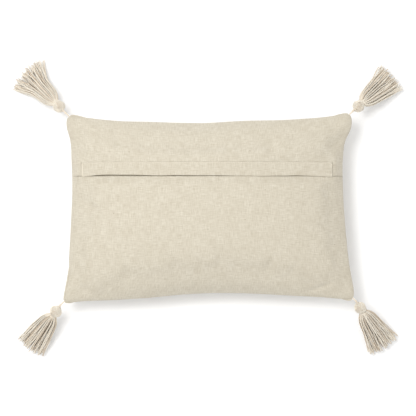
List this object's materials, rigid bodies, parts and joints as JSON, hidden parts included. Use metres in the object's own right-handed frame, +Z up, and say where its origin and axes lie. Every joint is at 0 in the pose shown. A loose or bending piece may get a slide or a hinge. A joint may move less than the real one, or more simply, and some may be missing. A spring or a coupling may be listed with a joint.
{
  "type": "throw pillow",
  "caption": "Lumbar throw pillow: canvas cover with a concealed zip placket, fibre insert, and a yarn tassel swinging on a cord at every corner.",
  "frame": {"origin": "Middle of the footprint of the whole pillow with its tassels spread, on the surface it lies on.", "axes": "+Z up out of the closure side, +X along the long side, +Y towards the edge nearer the zip placket. The pillow lies on its front panel."},
  "size_m": [0.796, 0.6049, 0.1479],
  "materials": {
    "canvas": "matt slubby plain-weave cotton canvas, unbleached",
    "thread": "cotton sewing thread",
    "zip_tape": "woven polyester tape",
    "zip_coil": "nylon monofilament",
    "zip_metal": "enamelled zinc",
    "ticking": "plain white woven ticking",
    "fibre": "siliconised hollow fibre",
    "yarn": "soft twisted cotton yarn"
  },
  "bodies": {
    "cushion": {"front_panel": "canvas", "back_panel_upper": "canvas", "back_panel_lower": "canvas", "seam_allowance": "canvas", "flap_topstitch": "thread", "bar_tack_left": "thread", "bar_tack_right": "thread", "zip_tape_lower": "zip_tape", "zip_tape_upper": "zip_tape", "zip_coil_lower": "zip_coil", "zip_coil_upper": "zip_coil", "zip_top_stops": "zip_metal", "zip_bottom_stop": "zip_metal", "insert_shell_back": "ticking", "insert_shell_front": "ticking", "fibre_filling": "fibre", "cord_anchor_top_left": "yarn", "cord_anchor_top_right": "yarn", "cord_anchor_bottom_left": "yarn", "cord_anchor_bottom_right": "yarn"},
    "placket_flap": {"placket_flap": "canvas"},
    "zip_slider": {"zip_slider": "zip_metal"},
    "zip_pull": {"zip_pull": "zip_metal"},
    "cord_top_left": {"tassel_cord_top_left": "yarn"},
    "tassel_top_left": {"tassel_head_top_left": "yarn", "tassel_neck_top_left": "yarn", "tassel_skirt_top_left": "yarn"},
    "cord_top_right": {"tassel_cord_top_right": "yarn"},
    "tassel_top_right": {"tassel_head_top_right": "yarn", "tassel_neck_top_right": "yarn", "tassel_skirt_top_right": "yarn"},
    "cord_bottom_left": {"tassel_cord_bottom_left": "yarn"},
    "tassel_bottom_left": {"tassel_head_bottom_left": "yarn", "tassel_neck_bottom_left": "yarn", "tassel_skirt_bottom_left": "yarn"},
    "cord_bottom_right": {"tassel_cord_bottom_right": "yarn"},
    "tassel_bottom_right": {"tassel_head_bottom_right": "yarn", "tassel_neck_bottom_right": "yarn", "tassel_skirt_bottom_right": "yarn"}
  },
  "joints": [
    {"name": "flap_lift", "type": "hinge", "parent": "cushion", "child": "placket_flap", "pos_m": [0, 0.0895, 0.1385], "axis": [-1, 0, 0], "range_deg": [0, 50], "deforming": ["placket_flap"]},
    {"name": "zip_slide", "type": "hinge", "parent": "cushion", "child": "zip_slider", "pos_m": [0, 0.077, -0.6315], "axis": [0, 1, 0], "range_deg": [0, 34]},
    {"name": "pull_flip", "type": "hinge", "parent": "zip_slider", "child": "zip_pull", "pos_m": [-0.22527, 0.077, 0.10413], "axis": [0, -1, 0], "range_deg": [0, 176]},
    {"name": "cord_swing_top_left", "type": "hinge", "parent": "cushion", "child": "cord_top_left", "pos_m": [-0.28441, 0.19127, 0.068], "axis": [0, 0, 1], "range_deg": [-60, 60]},
    {"name": "tassel_lift_top_left", "type": "hinge", "parent": "cord_top_left", "child": "tassel_top_left", "pos_m": [-0.28898, 0.19569, 0.06164], "axis": [0.6947, 0.7193, 0], "range_deg": [-62, 68]},
    {"name": "cord_swing_top_right", "type": "hinge", "parent": "cushion", "child": "cord_top_right", "pos_m": [0.29312, 0.19475, 0.068], "axis": [0, 0, 1], "range_deg": [-60, 60]},
    {"name": "tassel_lift_top_right", "type": "hinge", "parent": "cord_top_right", "child": "tassel_top_right", "pos_m": [0.29528, 0.19657, 0.06517], "axis": [0.6428, -0.766, 0], "range_deg": [-62, 68]},
    {"name": "cord_swing_bottom_left", "type": "hinge", "parent": "cushion", "child": "cord_bottom_left", "pos_m": [-0.29511, -0.19568, 0.068], "axis": [0, 0, 1], "range_deg": [-60, 60]},
    {"name": "tassel_lift_bottom_left", "type": "hinge", "parent": "cord_bottom_left", "child": "tassel_bottom_left", "pos_m": [-0.29681, -0.19794, 0.06517], "axis": [-0.7986, 0.6018, 0], "range_deg": [-62, 68]},
    {"name": "cord_swing_bottom_right", "type": "hinge", "parent": "cushion", "child": "cord_bottom_right", "pos_m": [0.29988, -0.18784, 0.068], "axis": [0, 0, 1], "range_deg": [-60, 60]},
    {"name": "tassel_lift_bottom_right", "type": "hinge", "parent": "cord_bottom_right", "child": "tassel_bottom_right", "pos_m": [0.30146, -0.19018, 0.06517], "axis": [-0.829, -0.5592, 0], "range_deg": [-62, 68]}
  ]
}
